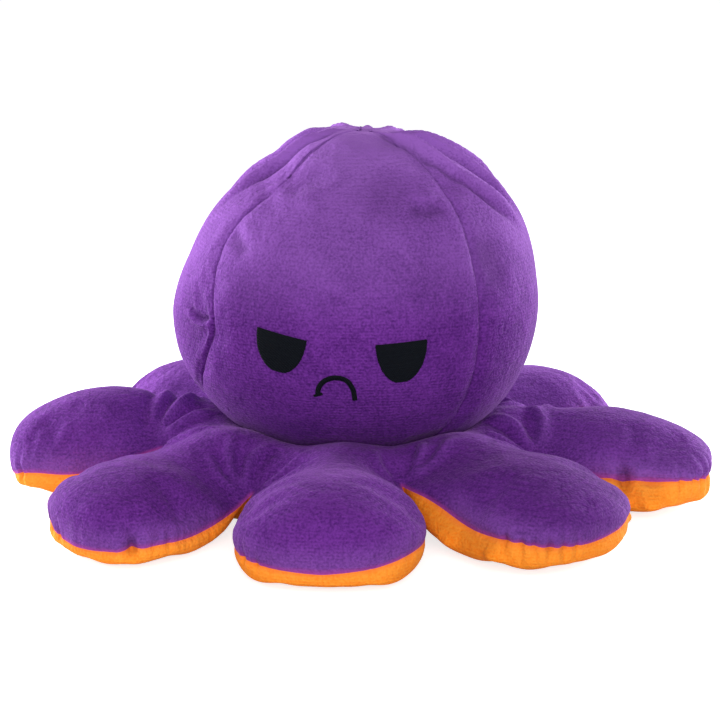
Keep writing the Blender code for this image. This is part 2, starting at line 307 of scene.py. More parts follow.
crest_line = [
    (0.057, 0.0335), (0.064, 0.0390), (0.072, 0.0432), (0.083, 0.0455), (0.100, 0.0455), (0.130, 0.0452),
    (0.165, 0.0452), (0.198, 0.0425),
]
valley_line = [
    (0.057, 0.0330), (0.064, 0.0375), (0.072, 0.0400), (0.083, 0.0392), (0.094, 0.0355), (0.101, 0.0315),
    (CROTCH, PINCH_LEVEL),
]
under_line = [(0.053, REST), (0.078, REST), (0.090, 0.0040), (0.099, 0.0120), (CROTCH, PINCH_LEVEL)]
tip_lifts = {"front_right": 0.0012, "right": 0.0, "left": 0.0045, "back_left": 0.0030, "back_right": 0.0030}
pinch_rows = {"front_left": 17}
crotch_ends = {"front_right": (0.0262, 0.0225), "front_left": (0.0225, 0.0205)}
print("the crests are", [habits["crest"] for habits in petal_habits.values()], "of the usual height")

# %% [markdown]
# The habits become heights in two steps. First comes the seam, whose height runs along each side and round
# the tip. Then the purple cloth rises from it to the crest and the orange one drops to the floor, both with
# the section of a pillow. Between the petals the section is a saddle.

# %% The heights of the two cloths of a petal
ROUND_FROM = 26
LIFT_FROM, SHOULDER, DROOP_FROM = 0.140, (0.085, 0.130), 0.125
CORNER_SIDE_SHARE = 0.4


def lowest(name, outward):
    """How far above the floor the underside of a petal lies."""
    return REST + tip_lifts.get(name, 0.0) * smoothstep(LIFT_FROM, TIP, outward) ** 1.5


def seam_heights(name, across, rows):
    """The seam's height beside each point of the grid, and the change that follows it round the tip."""
    tip = petal_habits[name]["tip"]
    lines = []
    for side, end in zip(np.broadcast_to(petal_habits[name]["side"], 2), crotch_ends.get(name, BESIDE_CROTCH)):
        at_corner = CORNER_SIDE_SHARE * side + (1 - CORNER_SIDE_SHARE) * tip
        lines.append([(0, PINCH_LEVEL), (0.05, end), (0.16, side), (0.27, side), (CORNER_AT, at_corner), (0.5, tip)])
    paddle = np.clip((rows - WEB_ROWS) / PADDLE_ROWS, 0, 1)
    before, after = [spline(line, CORNER_AT * paddle)[:, None] for line in lines]
    seam = before + (after - before) * (across[None, :] + 1) / 2
    round_share = 0.5 - (0.5 - CORNER_AT) * np.abs(across)
    at_tip = np.where(across < 0, spline(lines[0], round_share), spline(lines[1], round_share))
    return seam, (at_tip - seam[-1])[None, :] * smoothstep(ROUND_FROM, ROWS, rows)[:, None]


def petal_heights(name, plan, across):
    """The heights of the purple and the orange cloth, and how far the orange one bulges sideways."""
    habit = petal_habits[name]
    rows = np.arange(ROWS + 1)
    radius = lengths(plan[:, -1])
    seam, tip_lift = seam_heights(name, across, rows)
    in_web = rows[:, None] < WEB_ROWS
    top_edge = np.where(in_web, spline(valley_line, radius)[:, None], seam) + tip_lift
    under_edge = np.where(in_web, spline(under_line, radius)[:, None], seam) + tip_lift
    spine = plan[:, COLUMNS // 2, 0]
    crest = spline(crest_line, spine) * (1 + (habit["crest"] - 1) * smoothstep(*SHOULDER, spine))
    crest = (crest * (1 - habit["droop"] * smoothstep(DROOP_FROM, TIP, spine)))[:, None]
    tip_part = np.clip((rows - ROUND_FROM) / (ROWS - ROUND_FROM), 0, 1)[:, None]
    across = np.abs(across)[None, :]
    free = smoothstep(WEB_ROWS - 4, WEB_ROWS + 10, rows)[:, None]
    saddle = 0.5 + 0.5 * np.cos(across * math.pi)
    rise = (saddle + (pillow(across, 2.2, 1.85) - saddle) * free) * pillow(tip_part, 3.2, 2.1)
    pinched = smoothstep(WEB_ROWS + pinch_rows.get(name, 12), WEB_ROWS - 2, rows)[:, None]
    drop = pillow(across, 7 - 6 * pinched, 2.4 - 1.4 * pinched) * pillow(tip_part, 3.4, 2.0)
    top = top_edge + (crest - top_edge) * rise
    under = under_edge - (under_edge - lowest(name, plan[..., 0])) * drop
    return top, under, habit["belly"] * 4 * drop * (1 - drop) * free


print("petal heights ready for", len(petal_habits), "petals")

# %% [markdown]
# ## Sewing the petals
# A petal is two grids, the orange one turned over, that share their seam. They are joined and merged there,
# and stuffed as one cover. The seam keeps a sharp crease when the cover is subdivided, as a sewn edge does.

# %% One cloth of a petal
SEWN = 0.00002
purple_plush = bpy.data.materials.new("purple_plush")
orange_plush = bpy.data.materials.new("orange_plush")
black_thread = bpy.data.materials.new("black_thread")


def set_label(piece, label, values, domain="POINT"):
    layer = piece.data.attributes.get(label) or piece.data.attributes.new(label, "FLOAT", domain)
    layer.data.foreach_set("value", np.asarray(values, np.float32))


def label_of(piece, label):
    values = np.zeros(len(piece.data.vertices), np.float32)
    piece.data.attributes[label].data.foreach_get("value", values)
    return values


def petal_sheet(name, plan, heights, finish):
    bpy.ops.object.select_all(action="DESELECT")
    bpy.ops.mesh.primitive_grid_add(x_subdivisions=ROWS, y_subdivisions=COLUMNS, size=2)
    sheet = bpy.context.object
    sheet.name = name
    cells = (points_of(sheet)[:, :2] + 1) / 2
    row = np.rint(cells[:, 0] * ROWS).astype(int)
    column = np.rint(cells[:, 1] * COLUMNS).astype(int)
    move_points(sheet, np.column_stack([plan[row, column], heights[row, column]]))
    sheet.data.materials.append(finish)
    edge = (column == 0) | (column == COLUMNS)
    set_label(sheet, "seam", (row == ROWS) | (edge & (row >= WEB_ROWS)))
    set_label(sheet, "border", (row == 0) | (edge & (row <= WEB_ROWS)))
    return sheet


print("finishes", [finish.name for finish in (purple_plush, orange_plush, black_thread)])

# %% [markdown]
# Sewing is a join and a merge by distance. Points on the seam, on the rim and on the floor are held while the
# filling swells the rest. A little smoothing below takes out what the floor squeezed, and a subdivision
# rounds the facets.

# %% Sew and stuff the petals
FLOOR_MARGIN, LOW_PART = 0.0003, 0.010
BELLY_SIDES, BELLY_TIP = (0.010, 0.030), (0.190, 0.160)
SWELLS = (0.112, 0.168)


def subdivide(piece, seam):
    """Creases the seam and divides every face in sixteen."""
    ends = np.zeros(2 * len(piece.data.edges), np.int32)
    piece.data.edges.foreach_get("vertices", ends)
    set_label(piece, "crease_edge", seam[ends.reshape(-1, 2)].all(axis=1), "EDGE")
    modifier(piece, "SUBSURF", levels=2, render_levels=2)


def sew_petal(name):
    top_plan, across = petal_plan(TOP_START)
    under_plan, across = petal_plan(UNDER_START)
    under_plan[WEB_ROWS:, [0, -1]] = top_plan[WEB_ROWS:, [0, -1]]
    under_plan[-1] = top_plan[-1]
    top_height = petal_heights(name, top_plan, across)[0]
    under_height, belly = petal_heights(name, under_plan, across)[1:]
    x, y = under_plan[..., 0], under_plan[..., 1]
    belly = belly * smoothstep(*BELLY_SIDES, np.abs(y)) * smoothstep(*BELLY_TIP, x)
    under_plan[..., 1] += np.sign(y) * belly
    petal = petal_sheet("leg_" + name, top_plan, top_height, purple_plush)
    below = petal_sheet("below", under_plan, under_height, orange_plush)
    with edit_mode():
        bpy.ops.mesh.flip_normals()
    pick(petal, below)
    bpy.ops.object.join()
    with edit_mode():
        bpy.ops.mesh.remove_doubles(threshold=SEWN)
    seam, border = label_of(petal, "seam") > 0.5, label_of(petal, "border") > 0.5
    x, y, z = points_of(petal).T
    resting = z < lowest(name, x) + FLOOR_MARGIN
    swells = 0.1 + 0.9 * smoothstep(*SWELLS, x)
    stuff(petal, seam | resting | border, pressure=4.0, spare=0.05, cap=0.0035, share=swells, floor=REST)
    low = (points_of(petal)[:, 2] < LOW_PART) & ~seam & ~border
    petal.vertex_groups.new(name="below").add(np.nonzero(low)[0].tolist(), 1.0, "REPLACE")
    modifier(petal, "SMOOTH", factor=0.5, iterations=12, vertex_group="below")
    petal.vertex_groups.clear()
    subdivide(petal, seam)
    return petal


petals = {name: sew_petal(name) for name in LEG_NAMES}
print("sewed", len(petals), "petals of", len(petals["front"].data.polygons), "faces each")

# %% [markdown]
# ## Folds, puckers and dents
# Stuffed cloth is never smooth. Where two petals meet it is gathered at the crotch, and folds fan out from
# there over the shoulders of the petal. Along the seam the stitches hold the cloth shorter than it is, which
# makes small puckers across it. One helper lays a fold along a curve: the cloth rises on the curve and sinks
# beside it. Another makes the puckers from a wave along the seam that dies away from it.

# %% The fold and the dent
FOLD_SHADOW, FOLD_POINTS, CHUNK = 0.55, 48, 8000


def nearest_on(points, line):
    """The nearest of the line's points to each point, and how far it is."""
    nearest, far = np.zeros(len(points), int), np.zeros(len(points))
    for start in range(0, len(points), CHUNK):
        part = slice(start, start + CHUNK)
        apart = lengths(points[part, None] - line[None])
        nearest[part], far[part] = apart.argmin(axis=1), apart.min(axis=1)
    return nearest, far


def fold(points, normals, line, height, width):
    """How far each point moves for a fold along the line. A negative width throws its shadow to the other
    side. Heights and widths are in millimetres."""
    height, width = height / 1000, width / 1000
    line = along(line, np.linspace(0, 1, FOLD_POINTS))
    nearest, far = nearest_on(points, line)
    tangent = np.gradient(line, axis=0)
    tangent /= lengths(tangent)[:, None]
    across = np.cross(normals, tangent[nearest])
    side = np.einsum("ij,ij->i", across, points - line[nearest])
    share = nearest / (FOLD_POINTS - 1)
    taper = smoothstep(-0.05, 0.25, share) * smoothstep(1.05, 0.7, share)
    beside = np.sqrt(np.maximum(far**2 - side**2, 0) + (side - 1.7 * width) ** 2)
    rise = bell(far, width) - FOLD_SHADOW * bell(beside, width)
    return normals * (height * taper * rise)[:, None]


def dent(points, normals, centre, depth, width):
    far = lengths(points - np.asarray(centre, float))
    return normals * (-depth / 1000 * bell(far, width / 1000))[:, None]


def on_top(points, line):
    """Lifts a line, in millimetres on the plan, onto the highest cloth there."""
    high = points[points[:, 2] > HINGE_LEVEL]
    picks = [lengths(high[:, :2] - place).argmin() for place in np.array(line) / 1000]
    return high[picks]


print("a fold is a ridge with a shadow", FOLD_SHADOW, "as deep beside it")

# %% [markdown]
# The folds were read off the photograph petal by petal. Each one is a line of places on the petal's plan,
# from the crotch inwards, with its height and its width, all in millimetres.

# %% The folds of the petals
petal_folds = {
    "front": [
        ([(99, -36), (92, -24), (80, -14)], 2.2, 3),
        ([(101, -34), (104, -22), (103, -8)], 1.7, 3.2),
        ([(100, 36), (93, 26), (78, 20)], 2, -3),
    ],
    "front_right": [
        ([(99, -36), (90, -24), (77, -16)], 2.7, 3.2),
        ([(100, -37), (98, -22), (86, -4)], 2.4, 3.4),
        ([(100, 37), (90, 27), (74, 22)], 3.1, -3.4),
        ([(102, 36), (104, 22), (100, 6)], 2, -3.6),
    ],
    "right": [
        ([(98, -36), (88, -20), (74, -10)], 3.7, 3.8),
        ([(101, -36), (103, -18), (96, 8)], 3.4, 4),
        ([(99, 36), (90, 20), (74, 12)], 3.7, -3.8),
        ([(102, 35), (105, 18), (104, 0)], 2.7, -3.8),
    ],
    "back_right": [
        ([(99, -36), (90, -22), (74, -12)], 3.1, 3.6),
        ([(100, 37), (94, 22), (78, 10)], 2.7, -3.6),
    ],
    "back": [
        ([(99, -36), (92, -22), (78, -12)], 2.7, 3.4),
        ([(100, 36), (93, 22), (76, 14)], 3.1, -3.6),
        ([(102, 35), (106, 20), (106, 4)], 2, -3.6),
    ],
    "back_left": [
        ([(99, -36), (90, -22), (74, -12)], 3.1, 3.6),
        ([(100, 37), (94, 22), (78, 10)], 2.7, -3.6),
    ],
    "left": [
        ([(103, 36), (106, 18), (106, -6), (103, -30)], 3.2, 3.6),
        ([(100, 37), (98, 18), (93, -4), (88, -22)], 4.1, 3.6),
        ([(98, 36), (88, 22), (76, 10)], 3.4, 3.6),
        ([(100, -36), (94, -24), (80, -14)], 2.7, 3.6),
    ],
    "front_left": [
        ([(100, 37), (90, 26), (74, 20)], 2.7, -3),
        ([(102, 36), (100, 22), (88, 6)], 2.4, -3.2),
        ([(104, 37), (109, 26), (108, 10)], 2, -3.2),
        ([(100, -37), (92, -24), (78, -16)], 2.7, 3.4),
    ],
}
print(sum(len(lines) for lines in petal_folds.values()), "folds planned on the petals")

# %% [markdown]
# ## Gathered seams
# The thread of a seam draws both cloths in, so the seam lies in a groove with small puckers beside it, and
# here and there a deeper crease. Three labels go with the points for the shader, and they paint light and
# shade into the colour: painted bounce light where the other colour is close, painted light where the pile
# would catch it, and painted shade in a fold.

# %% The seam's groove, puckers and creases
PUCKER_DEPTH, PUCKER_REACH = 0.0005, 0.0060
GROOVE_DEPTH, GROOVE_REACH = 0.0009, 0.0018
CREASE_DEPTH, CREASE_WIDTH, CREASE_LENGTH = 0.0013, 0.0017, 0.0085
SHORTEST_WAVE, LONGEST_WAVE, STRENGTH_STEP = 3.5, 7.5, 12
PADDLE_MIDDLE = 0.135
petal_notches = {"front_left": [(186.2, 36.2)], "right": [(147.5, -44.0)], "back": [(188.0, -20.0)]}
NOTCH_SIZE = 3.0
petal_creases = {
    "front_right": [(193, -8), (191, -15), (188, -22), (185, -29), (181, -35), (175, -41)],
    "right": [(194, -10), (191, -18), (187, -25), (183, -31), (177, -37)],
    "front_left": [(166, 44), (184, -12), (182, -20)],
    "front": [(186, -30), (180, -36)],
    "left": [(186, 20), (190, -12), (180, 30)],
    "back": [(193, 12), (190, 22), (186, 30), (180, 36)],
    "back_left": [(193, -10), (190, -20), (184, -29)],
    "back_right": [(192, 14), (187, 25), (180, 34), (194, -6)],
}
rng = np.random.default_rng(8)


def seam_wave(count):
    """An uneven wave for the puckers along a seam."""
    turns = np.cumsum(rng.uniform(1 / LONGEST_WAVE, 1 / SHORTEST_WAVE, count))
    steps = np.arange(0, count + STRENGTH_STEP, STRENGTH_STEP)
    strength = np.interp(np.arange(count), steps, rng.uniform(0.15, 1, len(steps)))
    return np.sin(turns * 2 * math.pi) * strength


def gathers(points, wave, nearest, far):
    """How deep the seam's groove and puckers are. Both fade out towards the crotches."""
    pucker = PUCKER_DEPTH * (0.5 + 0.5 * wave[nearest]) * bell(far, PUCKER_REACH) * (far > 1e-6)
    pucker *= 0.35 + 0.65 * smoothstep(0.105, 0.150, points[:, 0])
    groove = GROOVE_DEPTH * bell(far, GROOVE_REACH)
    return (pucker + groove) * smoothstep(0.108, 0.126, points[:, 0])


def crease(points, seam_points, place, size):
    """How deep a crease is that runs inwards from the seam, at the given place in millimetres."""
    seam_at = seam_points[lengths(seam_points[:, :2] - np.array(place) / 1000).argmin()]
    inward = (np.array([PADDLE_MIDDLE, 0, 0]) - seam_at) * (1, 1, 0)
    inward /= np.linalg.norm(inward)
    offset = points - seam_at
    beside = np.abs(offset @ (-inward[1], inward[0], 0))
    width = CREASE_WIDTH * size**0.7
    section = bell(beside, width) - 0.4 * bell(beside - 2.3 * width, width)
    return CREASE_DEPTH * size * section * bell(lengths(offset), CREASE_LENGTH * size**0.3)


print(sum(len(places) for places in petal_creases.values()), "creases planned at the seams")

# %% [markdown]
# With these the petals get their cloth. The two places where the grid turns a corner at the tip are smoothed
# at the end, because cloth has no corner there.

# %% Fold the petals
CORNER_REACH = 0.005
# Painted light and shade per petal: a positive share paints the paddle paler and a negative one paints it darker.
# This stands in for how each petal is lit.
petal_painted_light_and_shade = {
    "back_left": 0.34, "back_right": 0.42, "right": 0.17, "left": 0.10, "front_right": -0.38, "front": -0.20,
}


def label_petal(name, petal, points, raised, far):
    """Writes the labels for the shader, from how far each point is raised and how far the seam is. All of them are
    painted light and shade: bounce light of the other cloth right at the seam, a paler band along the seam,
    highlights on raised cloth, shade in sunken cloth, and the painted light and shade of each petal.
    """
    brushed = petal_painted_light_and_shade.get(name, 0.0) * smoothstep(0.085, 0.120, points[:, 0])
    painted_seam_band = 0.65 * smoothstep(0.018, 0.0, far) * smoothstep(0.115, 0.150, points[:, 0])
    sunken = np.clip(-(raised + GROOVE_DEPTH) / 0.0022, 0, 1)
    set_label(petal, "painted_bounce_light", 1 - smoothstep(0.0, 0.0026, far))
    set_label(petal, "painted_shade", sunken * 0.8 + np.maximum(-brushed, 0))
    set_label(petal, "painted_light", np.clip(raised / 0.0050, 0, 1) * 0.35 + painted_seam_band + np.maximum(brushed, 0))


def round_corners(petal, points, far):
    """Smooths the two corners of the grid at the tip."""
    from_corner = np.min([lengths(points[:, :2] - corner) for corner in plan[-1, [0, -1]]], axis=0)
    corners = petal.vertex_groups.new(name="corners")
    for vertex in np.nonzero((from_corner < CORNER_REACH) & (far < CORNER_REACH))[0].tolist():
        corners.add([vertex], 1 - from_corner[vertex] / CORNER_REACH, "REPLACE")
    modifier(petal, "SMOOTH", factor=0.5, iterations=8, vertex_group="corners")
    petal.vertex_groups.clear()


def shape_petal(name, petal):
    points, normals = points_of(petal), normals_of(petal)
    seam_points = points[label_of(petal, "seam") > 0.99]
    seam_points = seam_points[np.argsort(np.arctan2(seam_points[:, 1], seam_points[:, 0] - 0.13))]
    wave = seam_wave(len(seam_points))
    nearest, far = nearest_on(points, seam_points)
    moved = points - normals * gathers(points, wave, nearest, far)[:, None]
    upward = smoothstep(0.2, 0.6, normals[:, 2])[:, None]
    for line, height, width in petal_folds[name]:
        moved += fold(points, normals, on_top(points, line), height, width) * upward
    above_rest = smoothstep(0.003, 0.012, points[:, 2])
    creases = [(place, 0.7 + 0.25 * (number % 3)) for number, place in enumerate(petal_creases.get(name, []))]
    for place, size in creases + [(place, NOTCH_SIZE) for place in petal_notches.get(name, [])]:
        moved -= normals * (crease(points, seam_points, place, size) * above_rest)[:, None]
    label_petal(name, petal, points, np.einsum("ij,ij->i", moved - points, normals), far)
    border = label_of(petal, "border") > 0.99
    moved[border] = points[border]
    moved[:, 2] = np.maximum(moved[:, 2], REST)
    move_points(petal, moved)
    round_corners(petal, points, far)


for name, petal in petals.items():
    shape_petal(name, petal)
print("petals folded, the front one now has", len(petals["front"].data.vertices), "points")

# %% [markdown]
# ## The head
# The head is a ball of four gores, like the peel of an orange in quarters. Their seams meet at the crown,
# which sits a little forward. A UV sphere fits this well, because its meridians can be the seams. It is
# leaned and flattened where the filling is slack: this head is full on the right and slimmer on the upper
# left, which a table of shares around its outline says.

# %% The ball of the head
HEAD_RADIUS, HEAD_HALF_HEIGHT, HEAD_MIDDLE = 0.0998, 0.0915, 0.112
MERIDIANS, RINGS, LAST_RING = 128, 60, 51
SEAM_CROWDING = 0.6
CROWN_LEAN = (0.0062, -0.0125)
fullness = [
    (-90, 1.0), (-45, 1.03), (-35, 1.030), (-15, 1.002), (5, 0.982), (25, 0.988), (38, 0.980), (50, 0.966),
    (62, 0.956), (72, 0.952), (85, 0.958), (95, 0.975), (105, 0.955), (115, 0.893), (125, 0.862), (145, 0.880),
    (160, 0.895), (168, 0.908), (176, 0.944), (186, 0.990), (200, 1.020), (215, 1.03), (225, 1.03), (270, 1.0),
]


def on_head(azimuth, polar):
    """Points of the stuffed head, from degrees round from the face and down from the crown."""
    azimuth, polar = np.radians(azimuth), np.radians(polar)
    x = HEAD_RADIUS * np.sin(polar) * np.sin(azimuth)
    y = -HEAD_RADIUS * np.sin(polar) * np.cos(azimuth)
    z = HEAD_HALF_HEIGHT * np.cos(polar)
    lean = 1 - smoothstep(0, math.radians(48), polar)
    x, y = x + lean * CROWN_LEAN[0], y + lean * CROWN_LEAN[1]
    side = np.degrees(np.arctan2(z, x))
    side = np.where(side < -90, side + 360, side)
    share = np.interp(side, *zip(*fullness)) - 1
    share = share * smoothstep(0.2, 0.95, np.hypot(x / HEAD_RADIUS, z / HEAD_HALF_HEIGHT))
    return np.stack([x * (1 + share), y, HEAD_MIDDLE + z * (1 + share)], axis=-1)


left_slant = [
    (0, 13), (25, 13), (35, 8), (45, 2), (56, -3), (80, -4), (88, -1), (98, 1.5), (104, -2.5), (110, -7),
    (118, -15), (126, -24), (155, -28),
]


def off_seam(azimuth):
    """Degrees from the nearest of the four seams."""
    return np.abs((np.asarray(azimuth) % 90) - 45)


bpy.ops.object.select_all(action="DESELECT")
bpy.ops.mesh.primitive_uv_sphere_add(segments=MERIDIANS, ring_count=RINGS, radius=1)
head = bpy.context.object
head.name = "head"
ball = points_of(head)
polar = np.degrees(np.arccos(np.clip(ball[:, 2], -1, 1)))
azimuth = np.degrees(np.arctan2(ball[:, 0], -ball[:, 1]))
azimuth -= np.degrees(SEAM_CROWDING / 4 * np.sin(4 * np.radians(azimuth - 45)))
slant = spline(left_slant, polar) * np.exp(-(((azimuth + 45) / 32) ** 2))
move_points(head, on_head(azimuth + slant, polar))
head_labels = {"azimuth": azimuth, "polar": polar, "seam": off_seam(azimuth) < 0.1}
for label, values in head_labels.items():
    set_label(head, label, values)
delete_part(head, "VERT", polar > (LAST_RING + 0.5) * 180 / RINGS)
print("the head is", [round(float(x), 3) for x in np.ptp(points_of(head), axis=0)], "m")

# %% [markdown]
# The meridians crowd towards the seams, which leaves points enough there for a fine groove. The seams, the
# crown and the hidden rim below are pinned as the head is stuffed, and the swelling fades in below the crown.

# %% Stuff the head
CROWN_PIN, RIM_PIN, CROWN_FADE = 4, 151, (8, 30)
polar, on_seam = label_of(head, "polar"), label_of(head, "seam") > 0.5
held = on_seam | (polar > RIM_PIN) | (polar < CROWN_PIN)
stuff(head, held, pressure=2.2, spare=0.02, cap=0.0022, share=smoothstep(*CROWN_FADE, polar))
subdivide(head, on_seam)
print("head has", len(head.data.vertices), "points")

# %% [markdown]
# The pleats and dents come next. A pleat is a curve from the crown, given in degrees round from the face and
# down from the crown, with its height and width in millimetres. The cloth rises along it and sinks on the far
# side, so that it catches the light as a fold does. A dent has its place, its depth and its width.

# %% The folds and dents of the head
head_folds = [
    ([(-60, 6), (-64, 16), (-66, 28), (-70, 42), (-77, 58)], 4.8, 3.1),
    ([(-74, 7), (-78, 16), (-82, 26), (-89, 38), (-98, 52)], 5, 2.9),
    ([(-96, 8), (-98, 20), (-102, 34), (-104, 50)], 4.6, 3),
    ([(53, 6), (53, 19), (55, 31), (60, 42), (68, 54), (78, 66)], 6.2, -2.9),
    ([(70, 7), (72, 20), (73, 33), (77, 46), (88, 62)], 6, -2.9),
    ([(62, 30), (64, 42), (70, 53), (80, 66)], 3.4, -2.5),
    ([(104, 9), (100, 24), (103, 42), (108, 56)], 4.1, -3),
    ([(146, 7), (150, 24), (154, 42), (152, 60)], 3.5, 3),
    ([(-146, 7), (-152, 24), (-157, 40), (-154, 56)], 3.8, -3),
    ([(-116, 8), (-120, 28), (-124, 44)], 3.2, 2.8),
    ([(176, 8), (178, 28), (174, 40)], 2.4, 3.5),
    ([(-61, 93), (-51, 96), (-44, 95)], 3.5, 1.9),
    ([(24, 53), (33, 54.5), (41, 53)], -2.4, 4.4),
    ([(-47, 62), (-40, 66), (-33, 69)], -1.9, 4.4),
]
head_dents = [
    (50, 71, 2, 11), (53, 79, 1.4, 10), (-18, 38.6, 1.2, 16), (16.5, 47.5, 1.4, 16),
    (-55, 98, 2, 16), (30, 78, 1, 22), (-30, 84, 1, 20), (2, 70, 0.8, 26),
    (100, 84, 1.6, 22), (-104, 90, 1.8, 22), (160, 76, 1.6, 26), (-165, 100, 1.6, 24),
    (0, 2, 1, 7),
]
# Patches of painted light on the head, each given by its degrees round from the face, its degrees down from the
# crown and its strength. Two of them stand in for the light that grazes the left and right edges, and a third
# lightens the front above the eyes.
head_painted_light_patches = [(-94, 96, 0.75), (104, 92, 0.40), (-4, 52, 0.22)]
print(len(head_folds), "folds and", len(head_dents), "dents planned on the head")

# %% [markdown]
# The seams of the head are finer than those of the petals: a narrow groove in a shallow hollow, with weak
# puckers. The labels tell the shader again where to paint light and shade: painted light on the upper head,
# where the light from above falls, on three patches and on the ridges of the folds, and painted shade inside
# the folds and along the seams.

# %% Fold the head and draw in its seams
GROOVE, HOLLOW, PUCKER = (0.0007, 0.0008), (0.0002, 0.0050), (0.0003, 0.0040)
points, normals = points_of(head), normals_of(head)
azimuth, polar = label_of(head, "azimuth"), label_of(head, "polar")
moved = points.copy()
for line, height, width in head_folds:
    curve = on_head(*np.array(line, float).T)
    moved += fold(points, normals, curve, height, width) * smoothstep(4, 15, polar)[:, None]
for round_from_face, down, depth, width in head_dents:
    moved += dent(points, normals, on_head(round_from_face, down), depth, width)
raised = np.einsum("ij,ij->i", moved - points, normals)
seam_points = points[label_of(head, "seam") > 0.99]
wave = seam_wave(len(seam_points))
nearest, far = nearest_on(points, seam_points)
sewn = GROOVE[0] * bell(far, GROOVE[1]) + HOLLOW[0] * bell(far, HOLLOW[1])
sewn += PUCKER[0] * bell(far, PUCKER[1]) * (0.5 + 0.5 * wave[nearest]) * smoothstep(14, 30, polar)
moved -= normals * (sewn * smoothstep(0.5, 4.0, polar))[:, None]
move_points(head, moved)
# Painted light: the head is painted paler towards its top, where the light from above falls, on the patches above,
# and on the ridges of the folds.
head_painted_light = smoothstep(0.100, 0.150, points[:, 2]) * 0.72 + smoothstep(0.170, 0.200, points[:, 2]) * 1.1
for round_from_face, down, strength in head_painted_light_patches:
    far_round = (azimuth - round_from_face + 180) % 360 - 180
    head_painted_light += strength * bell(far_round, 20) * bell(polar - down, 30)
set_label(head, "painted_light", head_painted_light + np.clip(raised / 0.0045, 0, 1) * 0.7)
# Painted shade: a thin dark line in each seam's groove and a darker colour inside the folds.
set_label(head, "painted_shade", np.maximum(0.6 * bell(far, 0.0007), 0.95 * np.clip(-raised / 0.0030, 0, 1)))
print("head folded, now", [round(float(x), 3) for x in np.ptp(moved, axis=0)], "m")

# %% [markdown]
# ## The lining
# The orange cloth goes up through the mouth of the base and lines the space inside the head. It is a sock of
# four gores, open below, where its lip rolls out onto the floor and meets the petals. The grid used for the
# petals does here too: rolled round the axis and merged along its edge, it makes the sock. The filling is
# behind it, so it swells inwards.

# %% Roll and stuff the lining
LINING_ROWS, LINING_COLUMNS = 56, 112
sock = [
    (0.0, 0.1345), (0.0070, 0.1322), (0.0128, 0.1290), (0.0202, 0.1208), (0.0262, 0.1115), (0.0318, 0.0975),
    (0.0355, 0.0850), (0.0382, 0.0730), (0.0394, 0.0610), (0.0405, 0.0490), (0.0412, 0.0400), (0.0416, 0.0300),
    (0.0416, 0.0120), (0.0424, 0.0060), (0.0448, 0.0022), (0.0488, 0.0008), (UNDER_START, REST),
]
bpy.ops.object.select_all(action="DESELECT")
bpy.ops.mesh.primitive_grid_add(x_subdivisions=LINING_ROWS, y_subdivisions=LINING_COLUMNS, size=2)
lining = bpy.context.object
lining.name = "lining"
cells = (points_of(lining)[:, :2] + 1) / 2
profile = along(sock, cells[:, 0])
turn = cells[:, 1] * 2 * math.pi
radius, level = profile.T
move_points(lining, np.column_stack([-radius * np.sin(turn), radius * np.cos(turn), level]))
azimuth = (np.degrees(turn) + 360) % 360 - 180
set_label(lining, "azimuth", azimuth)
set_label(lining, "down", cells[:, 0])
set_label(lining, "seam", off_seam(azimuth) < 0.1)
pick(lining)
with edit_mode():
    bpy.ops.mesh.remove_doubles(threshold=SEWN)
    bpy.ops.mesh.normals_make_consistent(inside=False)
half = len(lining.data.vertices) // 2
if normals_of(lining)[half, :2] @ points_of(lining)[half, :2] > 0:
    with edit_mode():
        bpy.ops.mesh.flip_normals()
down, on_seam = label_of(lining, "down"), label_of(lining, "seam") > 0.5
stuff(lining, on_seam | (down < 0.03) | (down > 0.84), pressure=4.0, spare=0.05, cap=0.003)
points, normals = points_of(lining), normals_of(lining)
far = nearest_on(points, points[on_seam])[1]
sewn = 0.0012 * bell(far, 0.0026) * (1 - smoothstep(0.86, 0.97, down))
move_points(lining, points - normals * sewn[:, None])
print("lining has", len(points), "points")

# %% [markdown]
# ## Cutting the covers into their cloths
# Each cloth becomes a piece of its own: eight purple petals, eight orange ones, four gores of the head and
# four of the lining. A copy of the cover keeps only the faces of one cloth. The Solidify modifier then turns
# its edges in by the thickness of plush. The far side of the cloth is against the filling, where nobody sees
# it, so it gets no faces.

# %% Cut out one cloth
CLOTH_THICKNESS = 0.0012
SHARP_ABOVE = math.radians(55)
GORES = {"front": 0, "right": 90, "back": 180, "left": -90}


def cut_out(cover, name, kept, finish):
    cloth = cover.copy()
    cloth.data = cover.data.copy()
    cloth.name = cloth.data.name = name
    bpy.context.collection.objects.link(cloth)
    delete_part(cloth, "FACE", ~kept)
    cloth.data.materials.clear()
    cloth.data.materials.append(finish)
    cloth.data.polygons.foreach_set("material_index", np.zeros(len(cloth.data.polygons), np.int32))
    modifier(cloth, "SOLIDIFY", thickness=CLOTH_THICKNESS, offset=-1.0, use_rim_only=True)
    bpy.ops.object.shade_smooth_by_angle(angle=SHARP_ABOVE)
    return cloth


def gores_of(cover, stem, finish):
    """The four gores. A face belongs to the gore that the azimuths of its corners lie in."""
    turns = np.radians(label_of(cover, "azimuth"))
    corners = [turns[list(face.vertices)] for face in cover.data.polygons]
    heading = np.degrees([np.arctan2(np.sin(turned).sum(), np.cos(turned).sum()) for turned in corners])
    gores = {}
    for side, middle in GORES.items():
        kept = np.abs((heading - middle + 180) % 360 - 180) < 45
        gores[side] = cut_out(cover, stem + "_" + side, kept, finish)
    return gores


head_gores = gores_of(head, "head_gore", purple_plush)
lining_gores = gores_of(lining, "lining_gore", orange_plush)
print("cut", len(head_gores), "gores for the head and", len(lining_gores), "for the lining")

# %% [markdown]
# Every petal was made along the x axis. Now it is bent sideways and shortened as its habits say, turned to
# the direction of its leg, and tugged at three crotches that the photograph shows off their even places.
# Then its purple and its orange cloth are cut apart.

